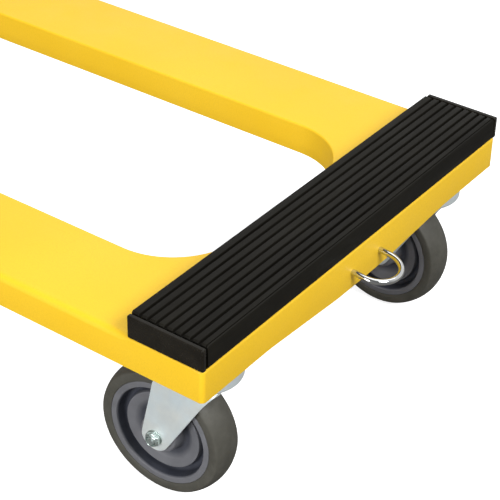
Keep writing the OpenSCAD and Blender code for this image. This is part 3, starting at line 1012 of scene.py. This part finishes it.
def kept_nodes():
    """The hidden steel that keeps its CAD shape."""
    for name in CASTERS:
        for node in ("swivel_balls_", "axle_bush_"):
            obj = frame["nodes"][node + name]
            obj.data.materials.clear()
            obj.data.materials.append(MATERIALS["ball_steel"])
            obj.data.shade_smooth()
            obj.data.set_sharp_from_angle(angle=math.radians(40))


# ---- build ----

deck_moulding()
deck_underside()
for end_name, end_side in (("front", 1), ("rear", -1)):
    pad_strip(end_name, end_side)
    for side_name, side_sign in (("left", 1), ("right", -1)):
        pad_cap(end_name + "_" + side_name, end_side, side_sign)
pull_ring()
ring_fixings()
caster_fasteners()
pad_screws()
for caster in CASTERS:
    yoke(caster)
    top_plate(caster)
    king_pin(caster)
    axle(caster)
    wheel(caster)
kept_nodes()


# ---- stage, light and camera ----

def floor():
    """Two floors in one place: a white one that the camera sees, and a greyer one that lights the object."""
    seen = stage_floor("floor_seen", 0.94, 0.7)
    seen.visible_diffuse = False
    seen.visible_glossy = False
    bounce = stage_floor("floor_bounce", 0.5, 0)
    bounce.visible_camera = False
    bounce.visible_shadow = False


def stage_floor(name, tone, glow):
    bm = bmesh.new()
    bmesh.ops.create_grid(bm, x_segments=8, y_segments=8, size=6)
    mesh = bpy.data.meshes.new(name)
    bm.to_mesh(mesh)
    bm.free()
    material, tree, shader, place = new_material(name)
    base = colours(tree, noise(tree, place, 900, 2), [(0.3, (tone, tone, tone)), (0.7, (tone * 1.02,) * 3)])
    tree.links.new(base, shader.inputs["Base Color"])
    shader.inputs["Roughness"].default_value = 0.9
    shader.inputs["Specular IOR Level"].default_value = 0.1
    shader.inputs["Emission Color"].default_value = (1, 1, 1, 1)
    shader.inputs["Emission Strength"].default_value = glow
    mesh.materials.append(material)
    obj = bpy.data.objects.new(name, mesh)
    bpy.context.scene.collection.objects.link(obj)
    return obj


def area_light(name, at, towards, size, power):
    light = bpy.data.lights.new(name, "AREA")
    light.shape = "RECTANGLE"
    light.size, light.size_y = size
    light.energy = power
    obj = bpy.data.objects.new(name, light)
    obj.location = at
    obj.rotation_euler = (Vector(towards) - Vector(at)).to_track_quat("-Z", "Y").to_euler()
    bpy.context.scene.collection.objects.link(obj)


def surroundings():
    """A soft surround, fixed in the world: bright towards +Y and dim towards -Y."""
    world = bpy.data.worlds.new("studio")
    world.use_nodes = True
    tree = world.node_tree
    direction = tree.nodes.new("ShaderNodeTexCoord").outputs["Generated"]
    split = tree.nodes.new("ShaderNodeSeparateXYZ")
    tree.links.new(direction, split.inputs[0])
    behind = spread(tree, split.outputs["Y"], 0, 1, -0.5, 0.7)
    sky = colours(tree, behind, [(0.0, (0.2, 0.2, 0.2)), (0.45, (0.5, 0.5, 0.5)), (1.0, (1, 1, 1))])
    background = tree.nodes["Background"]
    tree.links.new(sky, background.inputs["Color"])
    background.inputs["Strength"].default_value = 0.9
    bpy.context.scene.world = world


def camera():
    """The photograph's viewing angle, set about a point near the front pad."""
    azimuth = math.radians(-54.329)
    elevation = math.radians(34.163)
    roll = math.radians(1.144)
    target = Vector((deck_high.x - 71.325, -70.666, DECK_TOP)) * MM
    distance = 1.35103
    back = Vector((
        math.cos(azimuth) * math.cos(elevation), math.sin(azimuth) * math.cos(elevation), math.sin(elevation)
    ))
    right = Vector((-math.sin(azimuth), math.cos(azimuth), 0))
    up = back.cross(right)
    level = Matrix((right, up, back)).transposed()
    data = bpy.data.cameras.new("camera")
    data.sensor_width = 36
    data.lens = 114.11
    data.clip_start = 0.01
    data.clip_end = 50
    obj = bpy.data.objects.new("camera", data)
    turn = (level @ Matrix.Rotation(roll, 3, "Z")).to_4x4()
    obj.matrix_world = Matrix.Translation(target + back * distance) @ turn
    bpy.context.scene.collection.objects.link(obj)
    bpy.context.scene.camera = obj


floor()
surroundings()
area_light("key", (0.3, -3.2, 1.0), (0.2, 0, 0.1), (1.6, 1.2), 86)
area_light("fill", (2.7, -0.5, 2.4), (0.3, 0, 0.1), (1.2, 1.2), 77)
area_light("top", (0.2, 0.9, 2.6), (0.1, 0, 0), (2.0, 2.0), 18)
bpy.context.scene.view_settings.view_transform = "Standard"
bpy.context.scene.view_settings.look = "None"
camera()
